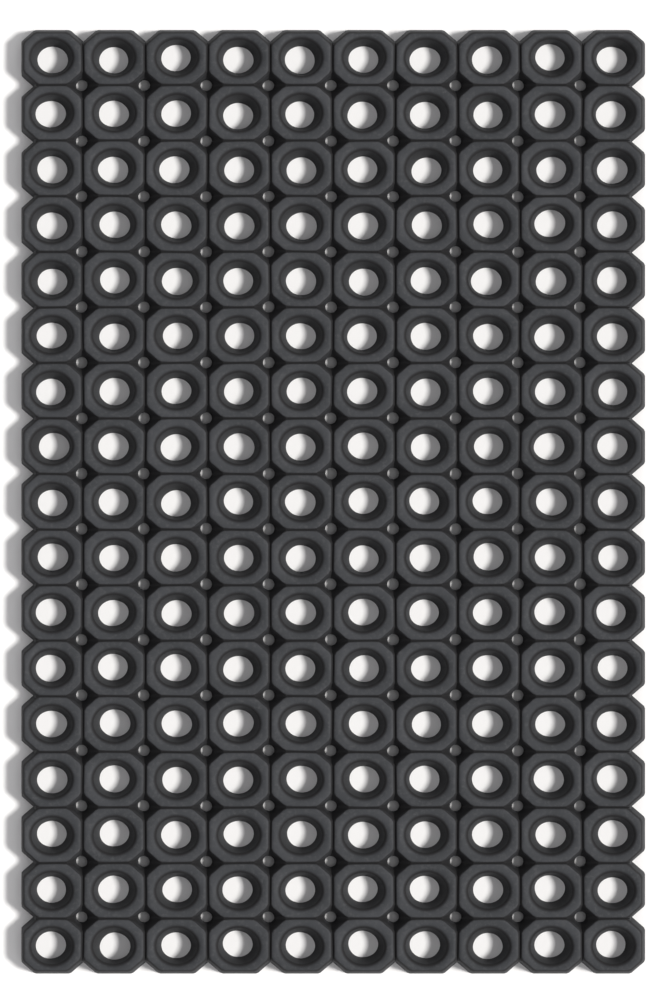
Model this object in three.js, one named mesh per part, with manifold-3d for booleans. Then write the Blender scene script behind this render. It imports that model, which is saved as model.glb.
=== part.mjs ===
// Rubber ring mat, lying flat: one moulded sheet of octagonal cells. Each cell has a large oval
// through hole that narrows downwards, and where four cells meet there is a diamond-shaped
// pocket with a small drain hole. The outer wall follows the cells, so it is notched between them.
// Millimetres, +X across the width, +Y along the length, +Z up, underside on Z = 0.
import * as THREE from 'three';
import { mergeVertices } from 'three/addons/utils/BufferGeometryUtils.js';
import Module from 'manifold-3d';

const COLUMNS = 10;
const ROWS = 17;
const PITCH_X = 39.8;
const PITCH_Y = 35.4;
const THICKNESS = 16;

// Corner cut of the octagonal cells, along each side of the cell.
const CORNER_X = 8.8;
const CORNER_Y = 7.6;

// The outer wall leans: it stands out past the cells at the floor and falls inside them on top.
const BASE_FLARE = 1.0;
const TOP_INSET = 1.5;

// Large hole, radii along X and Y.
const HOLE_TOP_X = 13.6;
const HOLE_TOP_Y = 12.4;
const HOLE_BASE_X = 9.6;
const HOLE_BASE_Y = 8.8;
const HOLE_SIDES = 10;

// Diamond pocket, half diagonals on top, and the drain hole in its floor, both with four sides.
const POCKET_X = 10.0;
const POCKET_Y = 8.4;
const POCKET_DEPTH = 8.0;
const DRAIN_RADIUS = 3.75;
const POCKET_SIDES = 4;

// How far the cutting solids reach past the two faces.
const OVERCUT = 1.0;

const RUBBER_COLOUR = 0x46464a;

const WIDTH = COLUMNS * PITCH_X;
const LENGTH = ROWS * PITCH_Y;

// A closed solid through rings of points, lowest first, each { z, points }, anticlockwise from above.
function loft(levels) {
  const count = levels[0].points.length;
  const positions = levels.flatMap(({ z, points }) => points.flatMap((p) => [p.x, p.y, z]));
  const faces = THREE.ShapeUtils.triangulateShape(levels[0].points, []);
  const top = count * (levels.length - 1);
  const index = [];
  for (const [a, b, c] of faces) {
    index.push(c, b, a);
    index.push(top + a, top + b, top + c);
  }
  for (let start = 0; start < top; start += count) {
    for (let i = 0; i < count; i += 1) {
      const a = start + i;
      const b = start + ((i + 1) % count);
      index.push(a, b, b + count);
      index.push(a, b + count, a + count);
    }
  }
  const geometry = new THREE.BufferGeometry();
  geometry.setAttribute('position', new THREE.Float32BufferAttribute(positions, 3));
  geometry.setIndex(index);
  return geometry;
}

// A regular polygon stretched to two half sizes, its first corner on +X.
function polygon(halfX, halfY, sides) {
  const corner = (i) => (2 * Math.PI * i) / sides;
  return Array.from({ length: sides }, (_, i) => new THREE.Vector2(
    halfX * Math.cos(corner(i)),
    halfY * Math.sin(corner(i)),
  ));
}

// A polygon with the area of the oval that it stands for.
function oval(radiusX, radiusY, sides) {
  const step = (2 * Math.PI) / sides;
  const scale = Math.sqrt(step / Math.sin(step));
  return polygon(radiusX * scale, radiusY * scale, sides);
}

// The notched edge of the mat, moved outwards by `grow`.
function outline(grow) {
  const slant = Math.hypot(CORNER_X, CORNER_Y);
  const cutX = CORNER_X - (grow * (slant - CORNER_X)) / CORNER_Y;
  const cutY = CORNER_Y - (grow * (slant - CORNER_Y)) / CORNER_X;
  const notchX = CORNER_X - (grow * slant) / CORNER_Y;
  const notchY = CORNER_Y - (grow * slant) / CORNER_X;
  const alongX = side(COLUMNS, PITCH_X, cutX, notchY, LENGTH / 2, grow);
  const alongY = side(ROWS, PITCH_Y, cutY, notchX, WIDTH / 2, grow);
  return [
    ...alongX.map(([along, out]) => new THREE.Vector2(along, -out)),
    ...alongY.map(([along, out]) => new THREE.Vector2(out, along)),
    ...alongX.map(([along, out]) => new THREE.Vector2(-along, out)),
    ...alongY.map(([along, out]) => new THREE.Vector2(-out, -along)),
  ];
}

// One side of the mat as pairs: the distance along it and the distance out from the middle.
function side(cells, pitch, cut, notch, reach, grow) {
  const pairs = [];
  for (let i = 0; i < cells; i += 1) {
    const start = (i - cells / 2) * pitch;
    pairs.push([start + cut, reach + grow]);
    pairs.push([start + pitch - cut, reach + grow]);
    if (i < cells - 1) {
      pairs.push([start + pitch, reach - notch]);
    }
  }
  return pairs;
}

function sheet() {
  return loft([
    { z: 0, points: outline(BASE_FLARE) },
    { z: THICKNESS, points: outline(-TOP_INSET) },
  ]);
}

// The hole narrows evenly from the top face to the underside.
function holeCutter() {
  const base = oval(HOLE_BASE_X, HOLE_BASE_Y, HOLE_SIDES);
  const top = oval(HOLE_TOP_X, HOLE_TOP_Y, HOLE_SIDES);
  return loft([
    { z: -OVERCUT, points: base },
    { z: 0, points: base },
    { z: THICKNESS, points: top },
    { z: THICKNESS + OVERCUT, points: top },
  ]);
}

// The pocket narrows to the drain hole, which goes straight down through the rest.
function pocketCutter() {
  const drain = oval(DRAIN_RADIUS, DRAIN_RADIUS, POCKET_SIDES);
  const mouth = polygon(POCKET_X, POCKET_Y, POCKET_SIDES);
  return loft([
    { z: -OVERCUT, points: drain },
    { z: THICKNESS - POCKET_DEPTH, points: drain },
    { z: THICKNESS, points: mouth },
    { z: THICKNESS + OVERCUT, points: mouth },
  ]);
}

const wasm = await Module();
wasm.setup();

function solid(geometry) {
  const merged = mergeVertices(geometry);
  return new wasm.Manifold(new wasm.Mesh({
    numProp: 3,
    vertProperties: merged.attributes.position.array,
    triVerts: new Uint32Array(merged.index.array),
  }));
}

// Copies of a cutter on a centred grid of cells.
function onGrid(cutter, columns, rows) {
  const copies = [];
  for (let column = 0; column < columns; column += 1) {
    for (let row = 0; row < rows; row += 1) {
      const x = (column - (columns - 1) / 2) * PITCH_X;
      const y = (row - (rows - 1) / 2) * PITCH_Y;
      copies.push(solid(cutter.clone().translate(x, y, 0)));
    }
  }
  return copies;
}

function geometryOf(shape) {
  const mesh = shape.getMesh();
  const geometry = new THREE.BufferGeometry();
  geometry.setAttribute('position', new THREE.BufferAttribute(mesh.vertProperties, 3));
  geometry.setIndex(new THREE.BufferAttribute(mesh.triVerts, 1));
  return geometry;
}

const cutters = [
  ...onGrid(holeCutter(), COLUMNS, ROWS),
  ...onGrid(pocketCutter(), COLUMNS - 1, ROWS - 1),
];
let body = solid(sheet());
for (const cutter of cutters) {
  body = body.subtract(cutter);
}

const rubber = new THREE.MeshStandardMaterial({
  color: RUBBER_COLOUR,
  roughness: 0.55,
  metalness: 0,
});
const mat = new THREE.Mesh(geometryOf(body), rubber);
mat.name = 'ring_mat';
const root = new THREE.Group();
root.name = 'rubber_ring_mat';
root.add(mat);

export default root;
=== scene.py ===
import bmesh
import bpy
import math
import random
import numpy as np
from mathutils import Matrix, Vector


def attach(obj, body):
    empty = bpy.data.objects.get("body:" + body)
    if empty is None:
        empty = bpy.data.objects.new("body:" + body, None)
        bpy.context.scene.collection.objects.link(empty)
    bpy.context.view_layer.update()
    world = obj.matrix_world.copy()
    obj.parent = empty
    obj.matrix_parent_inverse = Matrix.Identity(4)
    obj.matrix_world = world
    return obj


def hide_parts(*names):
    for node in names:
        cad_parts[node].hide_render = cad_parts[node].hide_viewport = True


# The mat's sizes in millimetres, as in the part's source.
COLUMNS = 10
ROWS = 17
PITCH_X = 39.8
PITCH_Y = 35.4
THICKNESS = 16.0
CORNER_X = 8.8
CORNER_Y = 7.6

# The large hole's section: a straight sloping wall that turns over into a broad rounded rim.
HOLE_BASE = (9.6, 8.5)
RIM = (17.2, 15.6)
RIM_RADIUS = 4.4
RIM_TILTS = (76, 62, 48, 35, 22, 0)

DRAIN_RADIUS = 3.7
DRAIN_SHIFT = (-1.1, 0.4)
POCKET_FLOOR = 7.8
GROOVE_FLOOR = 13.9

# The cells' outer edges, ring by ring: how far in from the cell's boundary, and how high.
# The pocket's last ring is drawn on towards the drain by POCKET_SLOPE.
GROOVE_EDGE = ((2.6, 16.0), (1.5, 15.85), (1.05, 15.55), (0.75, 15.2), (0.5, 14.8), (0.25, 14.35))
POCKET_EDGE = ((2.2, 16.0), (1.4, 15.84), (1.0, 15.5), (0.8, 14.9), (0.65, 13.6), (0.4, 11.0))
OUTER_EDGE = ((3.2, 16.0), (2.7, 15.84), (2.3, 15.45), (1.9, 14.85), (1.4, 13.7), (0.3, 6.6))
# The grooves between rows are shallower than those between columns.
ROW_GROOVE_EDGE = ((2.6, 16.0), (1.5, 15.9), (1.0, 15.75), (0.7, 15.55), (0.45, 15.3), (0.25, 15.0))
ROW_GROOVE_FLOOR = 14.7
POCKET_SLOPE = 0.5

# The left side stands as far out as the photo shows, and the foot of the wall stands past the cells.
LEFT_REACH = 198.9
BASE_FLARE = 0.8

# How far the rounded corners cut back each ring's straight edges, and where a groove meets the wall.
CORNER_TRIM = (1.5, 1.4, 1.2, 1.1, 1.0, 0.9)
WALL_MEETING = 0.5

# The edges of a cell, among the eight below, that lie between rows.
ROW_SIDES = (2, 6)
# Least gap between rings that meet, and how far the edge falls at once where they do.
NESTING = 0.12
NEST_FALL = 0.05
SEGMENTS = 40
PER_FEATURE = 5

# How much the holes differ, as standard deviations and largest shares, and how much the cells sink.
BASE_DRIFT = (-0.35, -0.23)
BASE_SPREAD = 0.38
TOP_SPREAD = 0.12
WOBBLES = ((2, 0.022), (3, 0.014), (5, 0.007))
TOP_WOBBLE = 0.3
SIZE_RANGE = (-0.22, 0.18)
SETTLE = 0.12
LEAN = 0.003
PHASES = 6.28
SEED = 17

# The size of the waviness in plan, and how far past the mat its fading ends.
SLOW_WAVE = 0.16
QUICK_WAVE = 0.10
FADE_MARGIN = 2

# Metres from here on: welding distance, camera and floor.
WELD = 0.00002
SHARP_ANGLE = math.radians(42)
MM = 0.001
CAMERA_HEIGHT = 3.9
CAMERA_PLACE = (0.00025, 0.00115)
FIELD = 0.6395
SENSOR = 24
FLOOR_HALF = 3.0

# The key light's height above the floor and its turn from +X.
KEY_RISE = math.radians(49.5)
KEY_TURN = math.radians(-5)
KEY_DISTANCE = 3

# Each soft panel's place, two sizes and power. The last gives the sheen from above on the right.
PANELS = (
    ((0, 2.4, 1.0), 3.0, 1.4, 10),
    ((0, -2.4, 1.0), 3.0, 1.4, 10),
    ((-2.4, 0, 1.0), 1.4, 3.0, 8),
    ((0.8, -0.15, 3.0), 0.7, 0.7, 3),
)

SLANT = math.hypot(CORNER_X, CORNER_Y)
DIAGONAL = (CORNER_Y / SLANT, CORNER_X / SLANT)
DIAGONAL_REACH = (CORNER_Y * PITCH_X / 2 + CORNER_X * (PITCH_Y / 2 - CORNER_Y)) / SLANT

# The eight edges of a cell, anticlockwise from the right: outward normal and distance from the middle.
# Even ones are sides, odd ones are the cut corners.
FEATURES = (
    ((1, 0), PITCH_X / 2),
    (DIAGONAL, DIAGONAL_REACH),
    ((0, 1), PITCH_Y / 2),
    ((-DIAGONAL[0], DIAGONAL[1]), DIAGONAL_REACH),
    ((-1, 0), PITCH_X / 2),
    ((-DIAGONAL[0], -DIAGONAL[1]), DIAGONAL_REACH),
    ((0, -1), PITCH_Y / 2),
    ((DIAGONAL[0], -DIAGONAL[1]), DIAGONAL_REACH),
)


def crossing(first, first_inset, second, second_inset):
    """Where two cell edges meet once each is moved inwards."""
    (a, b), reach_a = FEATURES[first]
    (c, d), reach_b = FEATURES[second]
    p = reach_a - first_inset
    q = reach_b - second_inset
    det = a * d - b * c
    return ((p * d - b * q) / det, (a * q - p * c) / det)


def along(start, end, trim_start, trim_end):
    """Evenly spaced points on one edge, short of its ends by the two trims."""
    length = math.hypot(end[0] - start[0], end[1] - start[1])
    points = []
    for i in range(PER_FEATURE):
        step = trim_start + (length - trim_start - trim_end) * i / (PER_FEATURE - 1)
        share = step / length
        points.append((start[0] + (end[0] - start[0]) * share, start[1] + (end[1] - start[1]) * share))
    return points


def octagon(insets, trim):
    """The cell's outline with each of its edges moved in by its own amount."""
    corners = [crossing(f, insets[f], (f + 1) % 8, insets[(f + 1) % 8]) for f in range(8)]
    points = []
    for f in range(8):
        points += along(corners[f - 1], corners[f], trim, trim)
    return points


def quarter_drain(f):
    """The drain hole's quarter at cut corner f, in the order of the outline."""
    sx = 1 if FEATURES[f][0][0] > 0 else -1
    sy = 1 if FEATURES[f][0][1] > 0 else -1
    swap = sx * sy < 0
    points = []
    for i in range(PER_FEATURE):
        turn = math.pi / 2 * i / (PER_FEATURE - 1)
        if swap:
            turn = math.pi / 2 - turn
        points.append((sx * (PITCH_X / 2 - DRAIN_RADIUS * math.sin(turn)) + DRAIN_SHIFT[0],
                       sy * (PITCH_Y / 2 - DRAIN_RADIUS * math.cos(turn)) + DRAIN_SHIFT[1]))
    return points


def contour(outer):
    """The cell's own border: groove floors, drain quarters and the foot of the outer wall, with heights."""
    lowest = GROOVE_EDGE[-1][0]
    points = []
    for f in range(8):
        before, after = (f - 1) % 8, (f + 1) % 8
        if outer[f]:
            flares = [-BASE_FLARE if outer[g] else 0.0 for g in (before, after)]
            start = crossing(before, flares[0], f, -BASE_FLARE)
            end = crossing(f, -BASE_FLARE, after, flares[1])
            trims = [CORNER_TRIM[-1] if outer[g] else 0.0 for g in (before, after)]
            points += [(x, y, 0.0) for x, y in along(start, end, *trims)]
        elif f % 2:
            points += [(x, y, POCKET_FLOOR) for x, y in quarter_drain(f)]
        else:
            start = crossing(before, WALL_MEETING if outer[before] else lowest, f, 0.0)
            end = crossing(f, 0.0, after, WALL_MEETING if outer[after] else lowest)
            trims = [0.0 if outer[g] else CORNER_TRIM[-1] for g in (before, after)]
            floor = ROW_GROOVE_FLOOR if f in ROW_SIDES else GROOVE_FLOOR
            points += [(x, y, floor) for x, y in along(start, end, *trims)]
    return points


def oval(radius, centre, wobble):
    """A ring of the large hole. wobble holds its own small departures from a true oval."""
    points = []
    for i in range(SEGMENTS):
        turn = 2 * math.pi * (i - 2) / SEGMENTS
        swell = 1 + sum(size * math.cos(waves * turn + phase) for waves, size, phase in wobble)
        points.append((centre[0] + radius[0] * swell * math.cos(turn),
                       centre[1] + radius[1] * swell * math.sin(turn)))
    return points


def hole_rings(rng):
    """From the underside up the wall and over the rounded rim."""
    base_shift = tuple(rng.gauss(drift, BASE_SPREAD) for drift in BASE_DRIFT)
    top_shift = (rng.gauss(0, TOP_SPREAD), rng.gauss(0, TOP_SPREAD))
    wobble = [(waves, rng.uniform(0, most), rng.uniform(0, PHASES)) for waves, most in WOBBLES]
    faint = [(waves, size * TOP_WOBBLE, phase) for waves, size, phase in wobble]
    size = rng.uniform(*SIZE_RANGE)
    base = (HOLE_BASE[0] + size, HOLE_BASE[1] + size)
    rings = [[(x, y, 0.0) for x, y in oval(base, base_shift, wobble)]]
    for tilt in RIM_TILTS:
        turn = math.radians(tilt)
        fall = RIM_RADIUS * math.sin(turn)
        z = THICKNESS - RIM_RADIUS * (1 - math.cos(turn))
        ring = oval((RIM[0] - fall, RIM[1] - fall), top_shift, faint)
        rings.append([(x, y, z) for x, y in ring])
    return rings


def edge_of(f, outer):
    """The section of one edge of a cell."""
    if outer[f]:
        return OUTER_EDGE
    if f % 2:
        return POCKET_EDGE
    return ROW_GROOVE_EDGE if f in ROW_SIDES else GROOVE_EDGE


def edge_rings(outer):
    """From the flat top over the rounded outer edge of the cell and down."""
    rings = []
    for level, trim in enumerate(CORNER_TRIM):
        insets = [edge_of(f, outer)[level][0] for f in range(8)]
        heights = [edge_of(f, outer)[level][1] for f in range(8)]
        ring = octagon(insets, trim)
        rings.append([(x, y, heights[i // PER_FEATURE]) for i, (x, y) in enumerate(ring)])
    return rings


def nest(rim, edges, outer):
    """Keeps the rim's rings inside the cell's edge where the flat between them runs out."""
    for back, ring in enumerate(reversed(rim)):
        for i, (x, y, z) in enumerate(ring):
            f = i // PER_FEATURE
            (across_x, across_y), reach = FEATURES[f]
            limit = reach - edge_of(f, outer)[0][0] - NESTING * (back + 1)
            over = x * across_x + y * across_y - limit
            if over <= 0:
                continue
            if back == 0:
                z -= RIM_RADIUS - math.sqrt(RIM_RADIUS ** 2 - over ** 2)
                for drop in (0, 1):
                    edge = edges[drop][i]
                    edges[drop][i] = (edge[0], edge[1], min(edge[2], z - NEST_FALL * drop))
            ring[i] = (x - over * across_x, y - over * across_y, z)


def pocket_wall(rings, border, outer):
    """Draws the lowest edge ring towards the drain, so that the pocket's walls slope."""
    low = rings[-1]
    above = rings[-2]
    for f in (1, 3, 5, 7):
        if outer[f]:
            continue
        for i in range(f * PER_FEATURE, (f + 1) * PER_FEATURE):
            low[i] = tuple(a + (b - a) * POCKET_SLOPE for a, b in zip(above[i], border[i]))


def outer_flags(column, row):
    """Which of a cell's eight edges belong to the mat's outer wall."""
    right, top, left, bottom = column == COLUMNS - 1, row == ROWS - 1, column == 0, row == 0
    return (right, right or top, top, top or left, left, left or bottom, bottom, bottom or right)


def warp(points):
    """The slow waviness of moulded rubber, in plan, fading out at the mat's edge."""
    x, y = points[:, 0], points[:, 1]
    fade_x = np.clip(1 - (np.abs(x) / (COLUMNS * PITCH_X / 2 + FADE_MARGIN)) ** 8, 0, 1)
    fade_y = np.clip(1 - (np.abs(y) / (ROWS * PITCH_Y / 2 + FADE_MARGIN)) ** 12, 0, 1)
    points[:, 0] += SLOW_WAVE * np.sin(y * 0.061 + 1.3) * np.cos(x * 0.023) * fade_x
    points[:, 0] += QUICK_WAVE * np.sin(y * 0.171 + x * 0.05) * fade_x
    points[:, 1] += SLOW_WAVE * np.sin(x * 0.057 + 0.4) * np.cos(y * 0.019) * fade_y
    points[:, 1] += QUICK_WAVE * np.sin(x * 0.153 - y * 0.04) * fade_y
    np.maximum(points[:, 0], -LEFT_REACH, out=points[:, 0])


def cell_rings(outer, rng):
    """All rings of one cell, from the foot of its hole over the top to the underside's border."""
    border = contour(outer)
    edges = edge_rings(outer)
    pocket_wall(edges, border, outer)
    rim = hole_rings(rng)
    nest(rim, edges, outer)
    return rim + edges + [border, [(x, y, 0.0) for x, y, z in border]]


def placed(rings, column, row, rng):
    """The cell's points on the mat. Its top sinks and leans a little, and its grooves stay put."""
    settle = rng.uniform(0.0, SETTLE)
    lean = (rng.gauss(0, LEAN), rng.gauss(0, LEAN))
    middle_x = (column - (COLUMNS - 1) / 2) * PITCH_X
    middle_y = (row - (ROWS - 1) / 2) * PITCH_Y
    points = []
    for ring in rings:
        for x, y, z in ring:
            high = max(0.0, z - ROW_GROOVE_FLOOR) / (THICKNESS - ROW_GROOVE_FLOOR)
            z -= high * max(0.0, settle + lean[0] * x + lean[1] * y)
            points.append((middle_x + x, middle_y + y, z))
    return points


def band(lower, upper, which=range(SEGMENTS)):
    """Faces between two rings, given the number of each ring's first point."""
    ahead = [(i, (i + 1) % SEGMENTS) for i in which]
    return [(lower + i, lower + j, upper + j, upper + i) for i, j in ahead]


def mat_mesh():
    rng = random.Random(SEED)
    points = []
    faces = []
    for row in range(ROWS):
        for column in range(COLUMNS):
            outer = outer_flags(column, row)
            rings = cell_rings(outer, rng)
            starts = [len(points) + SEGMENTS * n for n in range(len(rings))]
            points += placed(rings, column, row, rng)
            for lower, upper in zip(starts[:-2], starts[1:-1]):
                faces += band(upper, lower)
            inner_corners = [f for f in (1, 3, 5, 7) if not outer[f]]
            drains = [f * PER_FEATURE + i for f in inner_corners for i in range(PER_FEATURE - 1)]
            faces += band(starts[-1], starts[-2], drains)
            faces += band(starts[0], starts[-1])
    points = np.array(points)
    warp(points)
    mesh = bpy.data.meshes.new("ring_mat_rubber")
    mesh.from_pydata((points * MM).tolist(), [], faces)
    mesh.update()
    return mesh


def welded(obj):
    """Joins the cells along their shared borders."""
    bm = bmesh.new()
    bm.from_mesh(obj.data)
    bmesh.ops.remove_doubles(bm, verts=bm.verts, dist=WELD)
    bmesh.ops.recalc_face_normals(bm, faces=bm.faces)
    bm.to_mesh(obj.data)
    bm.free()
    for polygon in obj.data.polygons:
        polygon.use_smooth = True
    obj.data.set_sharp_from_angle(angle=SHARP_ANGLE)


def rubber_material():
    material = bpy.data.materials.new("moulded_rubber")
    material.use_nodes = True
    nodes, links = material.node_tree.nodes, material.node_tree.links
    shader = nodes["Principled BSDF"]
    shader.inputs["IOR"].default_value = 1.42
    shader.inputs["Metallic"].default_value = 0.0
    place = nodes.new("ShaderNodeTexCoord")

    def noise(scale, detail, roughness=0.55):
        node = nodes.new("ShaderNodeTexNoise")
        node.inputs["Scale"].default_value = scale
        node.inputs["Detail"].default_value = detail
        node.inputs["Roughness"].default_value = roughness
        links.new(place.outputs["Object"], node.inputs["Vector"])
        return node.outputs["Fac"]

    def ramp(source, low, high, first, last):
        node = nodes.new("ShaderNodeValToRGB")
        node.color_ramp.elements[0].position = low
        node.color_ramp.elements[0].color = (*first, 1)
        node.color_ramp.elements[1].position = high
        node.color_ramp.elements[1].color = (*last, 1)
        links.new(source, node.inputs["Fac"])
        return node.outputs["Color"]

    # The top faces get a lighter grey base colour, a painted sheen, and are smoothed by use. Slanting walls
    # and turned edges stay black, darker than the faces on either side, as a painted shade line, and the
    # steep walls below them are a lighter grey, a painted reflection of the lit floor.
    facing = nodes.new("ShaderNodeSeparateXYZ")
    links.new(place.outputs["Normal"], facing.inputs["Vector"])
    top_sheen_and_smoothing = ramp(facing.outputs["Z"], 0.72, 0.94, (0, 0, 0), (1, 1, 1))
    painted_shade_band = ramp(facing.outputs["Z"], 0.26, 0.4, (0, 0, 0), (1, 1, 1))

    def mix(factor, first, last):
        node = nodes.new("ShaderNodeMix")
        node.data_type = "RGBA"
        links.new(factor, node.inputs["Factor"])
        for value, name in ((first, "A"), (last, "B")):
            if isinstance(value, tuple):
                node.inputs[name].default_value = value
            else:
                links.new(value, node.inputs[name])
        return node.outputs["Result"]

    cloud = ramp(noise(38, 4), 0.3, 0.72, (0.0215, 0.0235, 0.0265), (0.0335, 0.0355, 0.0400))
    specks = ramp(noise(420, 3, 0.75), 0.5, 0.8, (0, 0, 0), (1, 1, 1))
    # Lighter top colour: painted sheen; its mottling and specks are the rubber's own.
    mottled_top_with_sheen = mix(specks, cloud, (0.05, 0.051, 0.054, 1))
    # Steep walls lighter grey as painted reflection, middling slopes black as painted shade.
    painted_wall_shading = mix(painted_shade_band, (0.0265, 0.028, 0.031, 1), (0.0115, 0.0112, 0.0122, 1))
    links.new(mix(top_sheen_and_smoothing, painted_wall_shading, mottled_top_with_sheen), shader.inputs["Base Color"])
    smoothed = ramp(noise(60, 5), 0.3, 0.75, (0.7, 0.7, 0.7), (0.8, 0.8, 0.8))
    links.new(mix(top_sheen_and_smoothing, (0.8, 0.8, 0.8, 1), smoothed), shader.inputs["Roughness"])

    grain = nodes.new("ShaderNodeBump")
    grain.inputs["Strength"].default_value = 0.35
    grain.inputs["Distance"].default_value = 0.00012
    links.new(noise(1500, 3, 0.6), grain.inputs["Height"])
    swell = nodes.new("ShaderNodeBump")
    swell.inputs["Strength"].default_value = 0.3
    swell.inputs["Distance"].default_value = 0.0004
    links.new(noise(190, 3), swell.inputs["Height"])
    links.new(grain.outputs["Normal"], swell.inputs["Normal"])
    links.new(swell.outputs["Normal"], shader.inputs["Normal"])
    return material


def floor_material():
    material = bpy.data.materials.new("pale_floor")
    material.use_nodes = True
    nodes, links = material.node_tree.nodes, material.node_tree.links
    shader = nodes["Principled BSDF"]
    shader.inputs["Roughness"].default_value = 0.85
    tone = nodes.new("ShaderNodeTexNoise")
    tone.inputs["Scale"].default_value = 6
    colours = nodes.new("ShaderNodeValToRGB")
    colours.color_ramp.elements[0].color = (0.83, 0.825, 0.82, 1)
    colours.color_ramp.elements[1].color = (0.86, 0.855, 0.85, 1)
    links.new(tone.outputs["Fac"], colours.inputs["Fac"])
    links.new(colours.outputs["Color"], shader.inputs["Base Color"])
    return material


def add_floor():
    half = FLOOR_HALF
    corners = [(-half, -half, 0), (half, -half, 0), (half, half, 0), (-half, half, 0)]
    mesh = bpy.data.meshes.new("floor")
    mesh.from_pydata(corners, [], [(0, 1, 2, 3)])
    mesh.materials.append(floor_material())
    floor = bpy.data.objects.new("floor", mesh)
    bpy.context.scene.collection.objects.link(floor)


def add_key():
    key = bpy.data.lights.new("key", "SUN")
    key.energy = 3.55
    key.angle = math.radians(11)
    key.color = (1.0, 0.985, 0.965)
    lamp = bpy.data.objects.new("key", key)
    level = math.cos(KEY_RISE)
    toward = Vector((math.cos(KEY_TURN) * level, math.sin(KEY_TURN) * level, math.sin(KEY_RISE)))
    lamp.rotation_euler = toward.to_track_quat("Z", "Y").to_euler()
    lamp.location = toward * KEY_DISTANCE
    bpy.context.scene.collection.objects.link(lamp)


def add_panel(place, width, depth, power):
    box = bpy.data.lights.new("softbox", "AREA")
    box.shape = "RECTANGLE"
    box.size = width
    box.size_y = depth
    box.energy = power
    panel = bpy.data.objects.new("softbox", box)
    panel.location = place
    panel.rotation_euler = Vector(place).to_track_quat("Z", "Y").to_euler()
    bpy.context.scene.collection.objects.link(panel)


def add_studio():
    world = bpy.data.worlds.new("studio")
    world.use_nodes = True
    background = world.node_tree.nodes["Background"]
    background.inputs["Color"].default_value = (0.98, 0.97, 1.0, 1)
    background.inputs["Strength"].default_value = 0.4
    bpy.context.scene.world = world


def add_camera():
    data = bpy.data.cameras.new("camera")
    data.sensor_fit = "VERTICAL"
    data.sensor_height = SENSOR
    data.lens = SENSOR * CAMERA_HEIGHT / FIELD
    data.clip_end = 20
    camera = bpy.data.objects.new("camera", data)
    camera.location = (*CAMERA_PLACE, CAMERA_HEIGHT)
    bpy.context.scene.collection.objects.link(camera)
    bpy.context.scene.camera = camera


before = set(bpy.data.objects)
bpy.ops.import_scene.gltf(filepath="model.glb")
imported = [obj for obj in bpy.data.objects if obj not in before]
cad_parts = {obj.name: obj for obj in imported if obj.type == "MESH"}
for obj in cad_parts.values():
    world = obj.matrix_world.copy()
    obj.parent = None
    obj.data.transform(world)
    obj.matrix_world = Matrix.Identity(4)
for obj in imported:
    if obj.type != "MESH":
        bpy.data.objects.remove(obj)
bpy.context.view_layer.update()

mat = bpy.data.objects.new("ring_mat_rubber", mat_mesh())
bpy.context.scene.collection.objects.link(mat)
welded(mat)
mat.data.materials.append(rubber_material())
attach(mat, "root")
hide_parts("ring_mat")

add_floor()
add_key()
for panel in PANELS:
    add_panel(*panel)
add_studio()
add_camera()
bpy.context.scene.view_settings.view_transform = "Standard"
bpy.context.scene.view_settings.look = "None"
